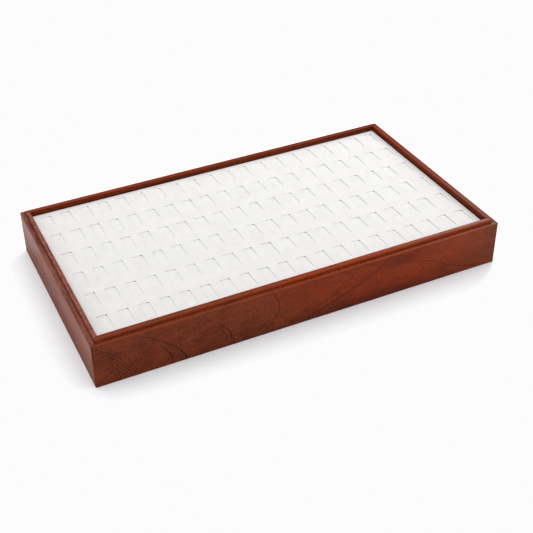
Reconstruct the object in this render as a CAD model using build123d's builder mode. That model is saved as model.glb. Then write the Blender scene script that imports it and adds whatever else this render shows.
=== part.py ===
"""Ring display tray: a stepped wooden tray with a lift-out insert of 120 ring tongues.

Millimetres, +Z up. The origin is the centre of the tray's footprint on the surface it stands on.
+X runs along the front board to the right, +Y from the front board to the back board.
"""
import os

from build123d import *

os.makedirs("parts", exist_ok=True)

# Ring places: a grid of windows, each with a tongue rooted at its front edge
slot_columns = 20
slot_rows = 6
slot_pitch_x = 21.25
slot_pitch_y = 38.0
window_length = 23.2  # along Y
window_width = 11.2  # along X
tongue_recess = 1.3  # the tongue's top lies this far below the cover's top
tongue_thickness = 1.6
tongue_edge_radius = 0.5
tongue_side_gap = 0.15
tongue_tip_gap = 0.4
tongue_root_gap = 0.1

# The insert's layers and frame
side_margin = 2.2  # cover beyond the first and last column's cells
end_margin = 0.7  # cover beyond the first and last row's cells
cover_thickness = 0.6
cover_edge_radius = 1.2
cover_hem_gap = 0.5  # the cover's lower hem stays this far above the tray's floor
panel_thickness = 1.2
rib_height = 10.7
rib_width = 6.0
rail_thickness = 5.0
base_thickness = 2.0

# The wooden tray
insert_clearance = 0.8  # gap between the insert and the boards
insert_drop = 5.9  # the insert's top lies this far below the lip's top
ledge_height = 50.0
ledge_width = 5.0
lip_height = 3.5
lip_thickness = 4.5
stack_clearance = 0.5  # play between this tray's foot and the lip of a tray below
corner_radius = 1.5
arris_radius = 0.6
floor_thickness = 4.0
groove_depth = 4.0
groove_clearance = 0.2
floor_edge_gap = 0.3  # the floor panel stops this far short of the bottom of its groove
spline_thickness = 2.0
spline_width = 6.0
spline_height = 38.0
spline_clearance = 0.05
spline_diagonal = 6.2  # distance of the spline's centre from the outer corner, along the mitre

# Plan sizes, from the ring places outwards
insert_length = slot_columns * slot_pitch_x + 2 * side_margin
insert_width = slot_rows * slot_pitch_y + 2 * end_margin
frame_length = insert_length - 2 * cover_thickness
frame_width = insert_width - 2 * cover_thickness
well_length = insert_length + 2 * insert_clearance
well_width = insert_width + 2 * insert_clearance
board_thickness = ledge_width + lip_thickness
tray_length = well_length + 2 * board_thickness
tray_width = well_width + 2 * board_thickness

# Heights, from the top of the lip downwards
tray_top = ledge_height + lip_height
cover_top = tray_top - insert_drop
panel_top = cover_top - cover_thickness
comb_top = panel_top - panel_thickness
tongue_top = cover_top - tongue_recess
comb_bottom = tongue_top - tongue_thickness
rib_bottom = comb_bottom - rib_height
floor_top = rib_bottom - base_thickness
floor_bottom = floor_top - floor_thickness
comb_thickness = comb_top - comb_bottom

# Cross-section of a board, measured inwards from its outer face
foot_width = ledge_width - stack_clearance
foot_height = lip_height + stack_clearance
groove_face = board_thickness - groove_depth
groove_top = floor_top + groove_clearance

# Lengths shared by the pieces inside the insert
bay_length = frame_length - 2 * rail_thickness
opening_allowance = 2 * cover_thickness  # the cover is turned down inside each window


def window_front(row):
    """Y of the front edge of a row's windows, row 0 being the front row."""
    cell_centre = (row - (slot_rows - 1) / 2) * slot_pitch_y
    return cell_centre - window_length / 2


def window_back(row):
    """Y of the back edge of a row's windows."""
    return window_front(row) + window_length


def write(part, name):
    """Label a finished piece and write its file."""
    part.label = name
    export_step(part, f"parts/{name}.step")


def board(run, across):
    """A front board whose outer face is at -across / 2, mitred at both ends of its run."""
    with BuildPart() as piece:
        with BuildSketch(Plane.YZ.offset(-run / 2)) as section:
            with BuildLine():
                Polyline(
                    (0, 0),
                    (foot_width, 0),
                    (foot_width, foot_height),
                    (board_thickness, foot_height),
                    (board_thickness, floor_bottom),
                    (groove_face, floor_bottom),
                    (groove_face, groove_top),
                    (board_thickness, groove_top),
                    (board_thickness, tray_top),
                    (ledge_width, tray_top),
                    (ledge_width, ledge_height),
                    (0, ledge_height),
                    close=True,
                )
            make_face()
            outer_corners = section.vertices().group_by(Axis.X)[0]
            lip_corners = section.vertices().group_by(Axis.Y)[-1]
            fillet(outer_corners + lip_corners, arris_radius)
        extrude(amount=run)
        for end in (-1, 1):
            mitre = Plane(origin=(end * run / 2, 0, 0), z_dir=(-end, -1, 0))
            split(bisect_by=mitre, keep=Keep.TOP)
            with Locations(spline_place(end * run / 2, 0, end)):
                Box(
                    spline_width + 2 * spline_clearance,
                    spline_thickness + 2 * spline_clearance,
                    spline_height + 2 * spline_clearance,
                    mode=Mode.SUBTRACT,
                )
        with BuildSketch(Plane.XY):
            with Locations((0, across / 2)):
                RectangleRounded(run, across, corner_radius)
        extrude(amount=tray_top, mode=Mode.INTERSECT)
    return piece.part.moved(Location((0, -across / 2, 0)))


def spline_place(corner_x, corner_y, side):
    """Where a spline's centre lies: inwards along the mitre from an outer front corner."""
    step = spline_diagonal / 2**0.5
    height = (foot_height + ledge_height) / 2
    return Location((corner_x - side * step, corner_y + step, height), (0, 0, side * 45))


# The four boards
front_board = board(tray_length, tray_width)
side_board = board(tray_width, tray_length)
write(front_board, "front_board")
write(front_board.rotate(Axis.Z, 180), "back_board")
write(side_board.rotate(Axis.Z, -90), "left_board")
write(side_board.rotate(Axis.Z, 90), "right_board")

# Hidden splines across the mitres, numbered clockwise from the front left corner
with BuildPart() as left_spline:
    with Locations(spline_place(-tray_length / 2, -tray_width / 2, -1)):
        Box(spline_width, spline_thickness, spline_height)
with BuildPart() as right_spline:
    with Locations(spline_place(tray_length / 2, -tray_width / 2, 1)):
        Box(spline_width, spline_thickness, spline_height)
write(left_spline.part, "corner_spline_1")
write(right_spline.part.rotate(Axis.Z, 180), "corner_spline_2")
write(left_spline.part.rotate(Axis.Z, 180), "corner_spline_3")
write(right_spline.part, "corner_spline_4")

# Floor, held in the grooves of the boards
floor_margin = 2 * (groove_depth - floor_edge_gap)
with BuildPart() as bottom_panel:
    with BuildSketch(Plane.XY.offset(floor_bottom)):
        Rectangle(well_length + floor_margin, well_width + floor_margin)
    extrude(amount=floor_thickness)
write(bottom_panel.part, "bottom_panel")

# Insert: base, rails round it and ribs between the rows
with BuildPart() as insert_base:
    with BuildSketch(Plane.XY.offset(floor_top)):
        Rectangle(frame_length, frame_width)
    extrude(amount=base_thickness)
write(insert_base.part, "insert_base")


def bar(name, x_low, x_high, y_low, y_high, z_low, z_high):
    """Write a straight square-edged bar between the given limits."""
    with BuildPart() as piece:
        with BuildSketch(Plane.XY.offset(z_low)):
            with Locations(((x_low + x_high) / 2, (y_low + y_high) / 2)):
                Rectangle(x_high - x_low, y_high - y_low)
        extrude(amount=z_high - z_low)
    write(piece.part, name)


half_bay = bay_length / 2
half_length = frame_length / 2
half_width = frame_width / 2
rail_back_face = half_width - rail_thickness
bar("insert_left_rail", -half_length, -half_bay, -half_width, half_width, rib_bottom, comb_top)
bar("insert_right_rail", half_bay, half_length, -half_width, half_width, rib_bottom, comb_top)
bar("insert_front_rail", -half_bay, half_bay, -half_width, -rail_back_face, rib_bottom, comb_bottom)
bar("insert_back_rail", -half_bay, half_bay, rail_back_face, half_width, rib_bottom, comb_top)
for row in range(1, slot_rows):
    rib_centre = (window_back(row - 1) + window_front(row)) / 2
    rib_front = rib_centre - rib_width / 2
    rib_back = rib_centre + rib_width / 2
    bar(f"row_rib_{row}", -half_bay, half_bay, rib_front, rib_back, rib_bottom, comb_bottom)

# Comb spines, one in front of each row: the tongues are rooted in their back edges
for row in range(slot_rows):
    spine_front = -half_width if row == 0 else window_back(row - 1)
    spine_back = window_front(row)
    bar(f"comb_spine_{row + 1}", -half_bay, half_bay, spine_front, spine_back, comb_bottom, comb_top)

# Tongues, a row at a time: card wrapped in microfibre, with rounded edges at the sides and the tip
tongue_width = window_width - 2 * tongue_side_gap
tongue_length = window_length - tongue_root_gap - tongue_tip_gap
for row in range(slot_rows):
    root = window_front(row) + tongue_root_gap
    with BuildPart() as tongues:
        with BuildSketch(Plane.XY.offset(comb_bottom)):
            with Locations((0, root + tongue_length / 2)):
                with GridLocations(slot_pitch_x, 0, slot_columns, 1):
                    Rectangle(tongue_width, tongue_length)
        extrude(amount=tongue_thickness)
        top_edges = tongues.faces().filter_by(Axis.Z).group_by(Axis.Z)[-1].edges()
        root_edges = top_edges.group_by(Axis.Y)[0]
        fillet([edge for edge in top_edges if edge not in root_edges], tongue_edge_radius)
    write(tongues.part, f"tongue_row_{row + 1}")

# Window panel: stiff card, its windows wider than the finished ones by the cover turned down in them
with BuildPart() as window_panel:
    with BuildSketch(Plane.XY.offset(comb_top)):
        Rectangle(frame_length, frame_width)
        with GridLocations(slot_pitch_x, slot_pitch_y, slot_columns, slot_rows):
            Rectangle(
                window_width + opening_allowance,
                window_length + opening_allowance,
                mode=Mode.SUBTRACT,
            )
    extrude(amount=panel_thickness)
write(window_panel.part, "window_panel")

# Cover: a sheet over the panel, turned down inside every window and down the insert's four sides
cover_hem = floor_top + cover_hem_gap
with BuildPart() as microfibre_cover:
    with BuildSketch(Plane.XY.offset(cover_hem)):
        Rectangle(insert_length, insert_width)
        Rectangle(frame_length, frame_width, mode=Mode.SUBTRACT)
    extrude(amount=cover_top - cover_hem)
    with BuildSketch(Plane.XY.offset(panel_top)):
        Rectangle(insert_length, insert_width)
    extrude(amount=cover_thickness)
    rim = microfibre_cover.faces().sort_by(Axis.Z)[-1].edges()
    fillet(rim, cover_edge_radius)
    with BuildSketch(Plane.XY.offset(comb_top)):
        with GridLocations(slot_pitch_x, slot_pitch_y, slot_columns, slot_rows):
            Rectangle(window_width + opening_allowance, window_length + opening_allowance)
    extrude(amount=panel_thickness)
    with BuildSketch(Plane.XY.offset(comb_top)):
        with GridLocations(slot_pitch_x, slot_pitch_y, slot_columns, slot_rows):
            Rectangle(window_width, window_length)
    extrude(amount=cover_top - comb_top, mode=Mode.SUBTRACT)
write(microfibre_cover.part, "microfibre_cover")
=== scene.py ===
"""The looks of a ring display tray: a stepped wooden tray with a white insert of 120 ring tongues.

Every mesh is in metres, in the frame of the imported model. The sizes in the classes are in millimetres.
"""

import logging
import math
import random
from dataclasses import dataclass, field
from enum import Enum
from typing import Any, Sequence, Union

import bmesh
import bpy
from mathutils import Matrix, Vector


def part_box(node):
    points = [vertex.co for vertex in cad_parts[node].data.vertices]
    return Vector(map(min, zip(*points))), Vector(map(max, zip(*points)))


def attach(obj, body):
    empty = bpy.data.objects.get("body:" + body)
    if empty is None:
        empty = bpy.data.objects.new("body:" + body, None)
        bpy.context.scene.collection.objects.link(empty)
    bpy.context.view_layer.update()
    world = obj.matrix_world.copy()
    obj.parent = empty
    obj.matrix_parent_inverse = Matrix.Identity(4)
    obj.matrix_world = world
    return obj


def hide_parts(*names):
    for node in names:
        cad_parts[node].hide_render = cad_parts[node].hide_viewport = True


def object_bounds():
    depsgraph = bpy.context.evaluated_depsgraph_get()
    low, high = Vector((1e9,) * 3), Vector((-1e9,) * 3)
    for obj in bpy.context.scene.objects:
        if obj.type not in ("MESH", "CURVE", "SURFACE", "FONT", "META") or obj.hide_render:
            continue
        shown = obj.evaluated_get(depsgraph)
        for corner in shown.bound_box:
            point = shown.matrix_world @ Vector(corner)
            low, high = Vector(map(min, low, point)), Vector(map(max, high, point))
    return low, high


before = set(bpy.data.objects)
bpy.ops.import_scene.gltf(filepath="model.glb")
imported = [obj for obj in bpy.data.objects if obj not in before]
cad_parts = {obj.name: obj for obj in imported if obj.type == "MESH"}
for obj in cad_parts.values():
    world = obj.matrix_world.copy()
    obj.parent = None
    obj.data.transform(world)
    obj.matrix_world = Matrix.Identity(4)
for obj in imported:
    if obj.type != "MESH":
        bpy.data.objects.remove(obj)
cad_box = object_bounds()

log = logging.getLogger("ring_tray")

MM = 0.001  # metres in a millimetre
PER_METRE = 1000.0  # millimetres in a metre
QUARTER_TURN = math.pi / 2
QUARTERS = ((1, 1), (-1, 1), (-1, -1), (1, -1))  # the signs of a rectangle's corners, anticlockwise
SAME_PLACE = 1e-6  # two numbers this close together, in millimetres, are one place

NOISE_MIDDLE = 0.5  # of a noise pattern's values
NOISE_SPREAD = (0.3, 0.7)  # nearly all of a noise pattern's values lie between these
EASED = {"interpolation_type": "SMOOTHSTEP"}  # for a MapRange node whose ends run out softly
MIX_SHARE, MIX_UNDER, MIX_OVER, MIXED = 0, 6, 7, 2  # the sockets of a Mix node that mixes colours
ALL_CHANNELS = 3  # the tone curve that works on red, green and blue alike

Point2 = tuple[float, float]
Point3 = tuple[float, float, float]
Socket = Union[float, Sequence[float], bpy.types.NodeSocket, bpy.types.Node]  # what a node's input takes


# Shared helpers for materials and meshes


def linear(colour: str) -> tuple[float, float, float, float]:
    """Turn an sRGB hex colour into linear light.

    Args:
        colour: six hex digits after a hash sign, such as "#7a3418".

    Returns:
        Red, green, blue and an alpha of 1.
    """
    levels = [int(colour[i:i + 2], 16) / 255 for i in (1, 3, 5)]
    light = [v / 12.92 if v <= 0.04045 else ((v + 0.055) / 1.055) ** 2.4 for v in levels]
    return (light[0], light[1], light[2], 1.0)


def add_node(
    tree: bpy.types.NodeTree,
    kind: str,
    inputs: Union[dict[Union[str, int], Socket], Sequence[Socket]] = (),
    **settings: Any,
) -> bpy.types.Node:
    """Add a node with its settings, values and links.

    Args:
        tree: the node tree that gets the node.
        kind: what follows "ShaderNode" in the node's type.
        inputs: for each input socket, by its name or number or else in order, a value, a socket to link, or a
            node whose first output is linked.
        settings: attributes of the node.

    Returns:
        The new node.
    """
    node = tree.nodes.new("ShaderNode" + kind)
    for name, value in settings.items():
        setattr(node, name, value)
    for key, value in inputs.items() if isinstance(inputs, dict) else enumerate(inputs):
        if isinstance(value, bpy.types.Node):
            value = value.outputs[0]
        if isinstance(value, bpy.types.NodeSocket):
            tree.links.new(value, node.inputs[key])
        else:
            node.inputs[key].default_value = value
    return node


def figure(
    tree: bpy.types.NodeTree, place: Socket, size: Point3, detail: float = 2.0, roughness: float = 0.5
) -> bpy.types.Node:
    """Make an uneven pattern whose marks can be longer one way than another, as wood's figure is.

    Args:
        tree: the node tree that gets the pattern.
        place: where it is read, in millimetres.
        size: how long its marks are along X, Y and Z, in millimetres.
        detail: how many finer patterns are laid over it.
        roughness: how strong those are.

    Returns:
        The node that gives the pattern, from 0 to 1.
    """
    scaled = add_node(tree, "VectorMath", (place, tuple(1 / length for length in size)), operation="MULTIPLY")
    return add_node(
        tree, "TexNoise", {"Vector": scaled, "Scale": 1.0, "Detail": detail, "Roughness": roughness}
    )


def places(tree: bpy.types.NodeTree, turn: float = 0.0) -> bpy.types.Node:
    """Give a point's place in the frame, in millimetres.

    Args:
        tree: the node tree that gets it.
        turn: how far the axes are turned about +Z, in radians.

    Returns:
        The node that gives the place.
    """
    metres = add_node(tree, "TexCoord").outputs["Object"]
    turned = add_node(tree, "VectorRotate", {"Vector": metres, "Angle": -turn}, rotation_type="Z_AXIS")
    return add_node(tree, "VectorMath", (turned, (PER_METRE,) * 3), operation="MULTIPLY")


def start_material(name: str) -> tuple[bpy.types.Material, bpy.types.NodeTree]:
    """Make a material whose node tree is still empty.

    Args:
        name: the material's name.

    Returns:
        The material and its node tree.
    """
    material = bpy.data.materials.new(name)
    material.use_nodes = True
    material.node_tree.nodes.clear()
    return material, material.node_tree


def dress(node: str, material: bpy.types.Material) -> None:
    """Give a CAD node one material.

    Args:
        node: the node's name.
        material: what its surface is made of.
    """
    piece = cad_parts[node]
    piece.data.materials.clear()
    piece.data.materials.append(material)
    log.info("%s is dressed in %s", node, material.name)


def add_ring(shape: bmesh.types.BMesh, points: Sequence[Point3]) -> list[bmesh.types.BMVert]:
    """Add points, given in millimetres, to a mesh."""
    return [shape.verts.new(Vector(point) * MM) for point in points]


def join_rings(shape: bmesh.types.BMesh, rings: Sequence[Sequence[bmesh.types.BMVert]]) -> None:
    """Join closed rings of equal length with faces.

    Args:
        shape: the mesh that holds the rings.
        rings: the rings, each of which is joined to the one after it.
    """
    for first, second in zip(rings, rings[1:]):
        for i in range(len(first)):
            j = (i + 1) % len(first)
            shape.faces.new((first[i], first[j], second[j], second[i]))


def smooth_piece(name: str, shape: bmesh.types.BMesh, material: bpy.types.Material) -> bpy.types.Object:
    """Turn a finished mesh into a smooth-shaded object.

    Args:
        name: the piece's name.
        shape: the mesh, in metres. It is freed.
        material: what its surface is made of.

    Returns:
        The new object, linked to the scene.
    """
    mesh = bpy.data.meshes.new(name)
    shape.to_mesh(mesh)
    shape.free()
    mesh.polygons.foreach_set("use_smooth", [True] * len(mesh.polygons))
    mesh.materials.append(material)
    piece = bpy.data.objects.new(name, mesh)
    bpy.context.scene.collection.objects.link(piece)
    return piece


# Finishes


class Grain(Enum):
    """Which way a board's grain runs, as a turn from +X."""

    ALONG_X = 0.0
    ALONG_Y = QUARTER_TURN


class Course(Enum):
    """How a growth line's points are read, how far it wiggles and how long its ends take to fade."""

    UPRIGHT = ("height, place along the board", 5.0, 4.0)
    LYING = ("place along the board, height", 2.5, 14.0)

    def __init__(self, reading: str, wiggle: float, fade: float) -> None:
        """Keep what the points are, and the two lengths in millimetres."""
        self.reading, self.wiggle, self.fade = reading, wiggle, fade


@dataclass(frozen=True)
class Vein:
    """A dark growth line drawn on a board's face.

    Attributes:
        course: how the points are read.
        points: the line's course, in millimetres from the board's left end and above its foot.
        width: half the line's width, in millimetres.
        depth: how dark it is, from 0 to 1.
        span: where it starts and ends, by the first number of its points.
    """

    course: Course
    points: tuple[Point2, ...]
    width: float
    depth: float
    span: Point2 = (-10.0, 500.0)


@dataclass(frozen=True)
class Cloud:
    """A broad soft patch: where the wood took more or less stain, and in some places painted shade, in others
    painted light.

    Attributes:
        centre: millimetres from the board's left end and above its foot.
        reach: half its length and half its height, in millimetres.
        depth: how strong it is, or how much lighter the wood is where it is below 0.
        core: the share of its reach that is at full strength.
    """

    centre: Point2
    reach: Point2
    depth: float
    core: float = 0.2


@dataclass(frozen=True)
class BoardPoint:
    """Where a point lies on its board in millimetres, as sockets of the board's material."""

    tree: bpy.types.NodeTree
    along: Socket  # from the board's left end
    out: Socket  # behind its outer face
    height: Socket  # above its foot
    place: Socket  # from the tray's origin, X being along the board


@dataclass(frozen=True)
class StainedCherry:
    """Rotary-cut cherry, wiped with a red-brown stain and sprayed with satin lacquer.

    The stain gathers in the late wood, so growth lines show as thin dark contours on an even ground. The
    arrises are drawn redder, for stain rubbed thin with a painted highlight, and the raised lip's outer face
    gets painted light. The lacquer mirrors the surroundings at a shallow angle.
    Lengths are in millimetres, and a depth of 1 is a tone at full strength.
    """

    name: str
    grain: Grain
    run: float  # the board's length
    half_depth: float  # from the tray's centre to the board's outer face
    height: float = 53.5
    thickness: float = 9.5
    ledge_height: float = 50.0
    ledge_width: float = 5.0

    ground: str = "#6f2e12"
    dark: str = "#461302"  # where the ground took more stain, and in painted shade
    light: str = "#8c310a"  # and where it took less, and in painted light
    ember: str = "#732502"  # where the stain is redder
    vein: str = "#160602"  # in the growth lines, the pores and the glued mitres
    wear_and_painted_light: str = "#93462a"  # on the arrises, for stain rubbed thin and a painted highlight, and on the lip's outer face as painted light
    painted_flat_reflection: str = ""  # painted reflection: a milky tone on the faces that lie flat
    painted_flat_reflection_depth: float = 0.8
    painted_flat_reflection_level: Point2 = (0.8, 0.99)  # upward part of a face's direction where that starts, and is full

    roughness: float = 0.36
    satin_swing: Point2 = (-0.03, 0.05)  # the least and the most that the slow waves add to it
    dull_foot: float = 0.12  # how much rougher the thin lacquer at the foot is
    foot_reach: float = 40.0  # how high up that goes
    gloss: float = 0.09  # specular level; polished lacquer would be 0.5

    wave_size: Point3 = (34.0, 34.0, 11.0)  # of the slow waves that bend the growth lines
    rag_size: Point3 = (4.0, 4.0, 3.0)  # of the small waves that leave them ragged
    rag_share: float = 0.5  # how strong the small waves are beside the slow ones

    ring_spacing: float = 4.6  # between the faint growth lines that run along the board
    ring_wander: float = 9.0  # how far the waves bend them
    ring_width: float = 0.28  # as a share of the spacing
    ring_depth: float = 0.25

    nest_lean: tuple[Point2, ...] = ()  # how far the arcs of the nest lean to the left at each height
    nest_ease: Point2 = (8.0, 50.0)  # from here to here along the board they grow more upright
    nest_eased: float = 0.7  # how much of their lean is left there
    nest_start: Point2 = (16.0, 22.0)  # where the nest starts at the foot, and where it is full
    nest_end: Point2 = (50.0, 42.0)  # where it is gone, and where it stops being full
    nest_spacing: float = 3.5
    nest_width: float = 0.3  # as a share of the spacing
    nest_depth: float = 0.68

    veins: tuple[Vein, ...] = ()
    vein_softness: float = 2.2  # how much wider a line is with its soft edges
    gap_size: Point3 = (3.5, 1.2, 1.8)  # of the places where the growth lines are weaker
    gap_depths: Point2 = (0.55, 1.1)  # what is left of a line there, and what it is elsewhere

    clouds: tuple[Cloud, ...] = ()
    embers: tuple[Cloud, ...] = ()
    mottle_size: Point3 = (22.0, 9.0, 9.0)
    mottle_spread: Point2 = (0.25, 0.75)
    mottle_depth: float = 0.6
    streak_size: Point3 = (150.0, 6.0, 2.2)
    streak_spread: Point2 = (0.32, 0.68)
    streak_depth: float = 0.0  # how strongly the tone is drawn out along the grain
    pore_size: Point3 = (1.8, 1.0, 1.0)
    pore_spread: Point2 = (0.5, 0.75)
    pore_depth: float = 0.95

    arris_wear_and_highlight: float = 0.55  # how much lighter the arrises are drawn, for stain rubbed off and a painted highlight
    arris_reach: Point2 = (0.35, 1.1)  # how far from an arris that is full, and where it ends
    step_painted_light: float = 0.0  # how much painted light the raised lip's outer face gets
    step_start: Point2 = (0.1, 0.6)  # how far above the ledge that starts, and is full
    step_end: Point2 = (0.1, 0.7)  # how far behind that face it starts to fade, and has faded
    step_rest: float = 0.1  # what is left of it there
    glue_depth: float = 0.8
    glue_reach: Point2 = (0.12, 0.5)  # how far from a mitre the line of glue is full, and where it ends

    def material(self) -> bpy.types.Material:
        """Build the material.

        Returns:
            The material, for one board.
        """
        material, tree = start_material(self.name)
        at = self._board_point(tree)
        waves = figure(tree, at.place, self.wave_size, detail=3.0, roughness=0.55)
        rags = figure(tree, at.place, self.rag_size)
        slow = add_node(tree, "Math", (waves, NOISE_MIDDLE), operation="SUBTRACT")
        small = add_node(tree, "Math", (rags, NOISE_MIDDLE), operation="SUBTRACT")
        wiggle = add_node(tree, "Math", (small, self.rag_share, slow), operation="MULTIPLY_ADD")
        flecks = self._flecks(at)
        filled = add_node(tree, "Math", (1.0, flecks), operation="SUBTRACT")
        smoothest, roughest = (self.roughness + swing for swing in self.satin_swing)
        satin = add_node(tree, "MapRange", (waves, *NOISE_SPREAD, smoothest, roughest))
        thin = add_node(tree, "MapRange", (at.height, 0.0, self.foot_reach, self.dull_foot, 0.0))
        surface = add_node(tree, "BsdfPrincipled", {
            "Base Color": self._colour(at, self._lines(at, wiggle), flecks),
            "Roughness": add_node(tree, "Math", (satin, thin), operation="ADD"),
            "Normal": add_node(tree, "Bump", {"Strength": 0.25, "Distance": 0.05 * MM, "Height": filled}),
            "IOR": 1.5,
            "Specular IOR Level": self.gloss,
        })
        add_node(tree, "OutputMaterial", {"Surface": surface})
        return material

    def _board_point(self, tree: bpy.types.NodeTree) -> BoardPoint:
        """Work out where a point lies on its board.

        Args:
            tree: the material's node tree.

        Returns:
            The point.
        """
        place = places(tree, self.grain.value)
        split = add_node(tree, "SeparateXYZ", (place,))
        along = add_node(tree, "Math", (split.outputs["X"], self.run / 2), operation="ADD")
        sideways = add_node(tree, "Math", (split.outputs["Y"],), operation="ABSOLUTE")
        out = add_node(tree, "Math", (self.half_depth, sideways), operation="SUBTRACT")
        return BoardPoint(tree, along, out, split.outputs["Z"], place)

    def _colour(self, at: BoardPoint, lines: Socket, flecks: Socket) -> Socket:
        """Lay over the ground the stain's tones with their painted light and shade, the growth lines, the
        pores, the worn and lit edges and the painted reflection on flat faces.

        Args:
            at: the point on the board.
            lines: how strong the growth lines are there.
            flecks: how strong the pores are there.

        Returns:
            The colour.
        """
        tree = at.tree
        tone = self._tone(at)
        layers = [
            (tone, self.dark),
            (add_node(tree, "Math", (tone, -1.0), operation="MULTIPLY"), self.light),
            (lines, self.vein),
            (flecks, self.vein),
            # worn arrises with a painted highlight, and painted light on the raised lip's outer face
            (self._edges(at), self.wear_and_painted_light),
            (self._mitre(at), self.vein),
        ]
        if self.embers:
            layers.insert(0, (self._patches(at, self.embers), self.ember))
        # painted reflection: the faces that lie flat are drawn milkier
        if self.painted_flat_reflection:
            facing = add_node(tree, "SeparateXYZ", (add_node(tree, "NewGeometry").outputs["Normal"],))
            limits = (*self.painted_flat_reflection_level, 0.0, self.painted_flat_reflection_depth)
            layers.insert(0, (add_node(tree, "MapRange", (facing.outputs["Z"], *limits)), self.painted_flat_reflection))
        colour: Socket = linear(self.ground)
        for share, over in layers:
            parts = {MIX_SHARE: share, MIX_UNDER: colour, MIX_OVER: linear(over)}
            colour = add_node(tree, "Mix", parts, data_type="RGBA").outputs[MIXED]
        return colour

    def _lines(self, at: BoardPoint, wiggle: Socket) -> bpy.types.Node:
        """Draw all growth lines, here and there a little weaker.

        Args:
            at: the point on the board.
            wiggle: how far the waves bend a line there, 0 being not at all.

        Returns:
            How strong the lines are.
        """
        tree = at.tree
        lines = self._rings(at, wiggle)
        drawn = [self._nest(at, wiggle)] if self.nest_lean else []
        drawn += [self._vein(at, vein, wiggle) for vein in self.veins]
        for line in drawn:
            lines = add_node(tree, "Math", (lines, line), operation="MAXIMUM")
        gaps = figure(tree, at.place, self.gap_size)
        left = add_node(tree, "MapRange", (gaps, *NOISE_SPREAD, *self.gap_depths))
        return add_node(tree, "Math", (lines, left), operation="MULTIPLY")

    def _rings(self, at: BoardPoint, wiggle: Socket) -> bpy.types.Node:
        """Draw the faint growth lines that run along the board.

        Args:
            at: the point on the board.
            wiggle: how far the waves bend a line there.

        Returns:
            How strong the lines are.
        """
        tree = at.tree
        bent = add_node(tree, "Math", (wiggle, self.ring_wander, at.height), operation="MULTIPLY_ADD")
        phase = add_node(tree, "Math", (bent, self.ring_spacing), operation="PINGPONG")
        edge = self.ring_width * self.ring_spacing
        return add_node(tree, "MapRange", (phase, 0.0, edge, self.ring_depth, 0.0), **EASED)

    def _nest(self, at: BoardPoint, wiggle: Socket) -> bpy.types.Node:
        """Draw the nest of arcs that sweep down from the board's left end.

        Args:
            at: the point on the board.
            wiggle: how far the waves bend a line there.

        Returns:
            How strong the arcs are.
        """
        tree = at.tree
        lean = self._curve(at, self.nest_lean, at.height, self.height, self.height)
        share = add_node(tree, "MapRange", (at.along, *self.nest_ease, 1.0, self.nest_eased))
        leaning = add_node(tree, "Math", (lean, share, at.along), operation="MULTIPLY_ADD")
        growth = add_node(tree, "Math", (wiggle, Course.UPRIGHT.wiggle, leaning), operation="MULTIPLY_ADD")
        phase = add_node(tree, "Math", (growth, self.nest_spacing / 2), operation="PINGPONG")
        edge = self.nest_width * self.nest_spacing
        line = add_node(tree, "MapRange", (phase, 0.0, edge, self.nest_depth, 0.0), **EASED)
        begun = add_node(tree, "MapRange", (growth, *self.nest_start), **EASED)
        going = add_node(tree, "MapRange", (growth, *self.nest_end), **EASED)
        inside = add_node(tree, "Math", (begun, going), operation="MULTIPLY")
        return add_node(tree, "Math", (line, inside), operation="MULTIPLY")

    def _curve(
        self, at: BoardPoint, points: Sequence[Point2], value: Socket, reach: float, scale: float
    ) -> bpy.types.Node:
        """Read a smooth curve through given points.

        Args:
            at: the point on the board.
            points: the curve's points, in millimetres.
            value: where the curve is read, in millimetres.
            reach: the largest value that is read.
            scale: the largest value that the curve gives.

        Returns:
            The curve's value, in millimetres.
        """
        share = add_node(at.tree, "Math", (value, reach), operation="DIVIDE")
        curve = add_node(at.tree, "FloatCurve", {"Value": share})
        line = curve.mapping.curves[0]
        wanted = [(x / reach, y / scale) for x, y in sorted(points)]
        while len(line.points) < len(wanted):
            line.points.new(0.5, 0.5)
        for knot, (x, y) in zip(line.points, wanted):
            knot.location = (x, y)
        curve.mapping.update()
        return add_node(at.tree, "Math", (curve, scale), operation="MULTIPLY")

    def _vein(self, at: BoardPoint, vein: Vein, wiggle: Socket) -> bpy.types.Node:
        """Draw one dark growth line.

        Args:
            at: the point on the board.
            vein: the line.
            wiggle: how far the waves bend it there.

        Returns:
            How strong the line is.
        """
        tree = at.tree
        upright = vein.course is Course.UPRIGHT
        read_at, across = (at.height, at.along) if upright else (at.along, at.height)
        reach, scale = (self.height, self.run) if upright else (self.run, self.height)
        course = self._curve(at, vein.points, read_at, reach, scale)
        bent = add_node(tree, "Math", (wiggle, vein.course.wiggle, across), operation="MULTIPLY_ADD")
        beside = add_node(tree, "Math", (bent, course), operation="SUBTRACT")
        gap = add_node(tree, "Math", (beside,), operation="ABSOLUTE")
        edge = vein.width * self.vein_softness
        line = add_node(tree, "MapRange", (gap, 0.0, edge, vein.depth, 0.0), **EASED)
        (start, end), fade = vein.span, vein.course.fade
        begun = add_node(tree, "MapRange", (read_at, start - fade, start + fade))
        going = add_node(tree, "MapRange", (read_at, end + fade, end - fade))
        inside = add_node(tree, "Math", (begun, going), operation="MULTIPLY")
        return add_node(tree, "Math", (line, inside), operation="MULTIPLY")

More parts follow.
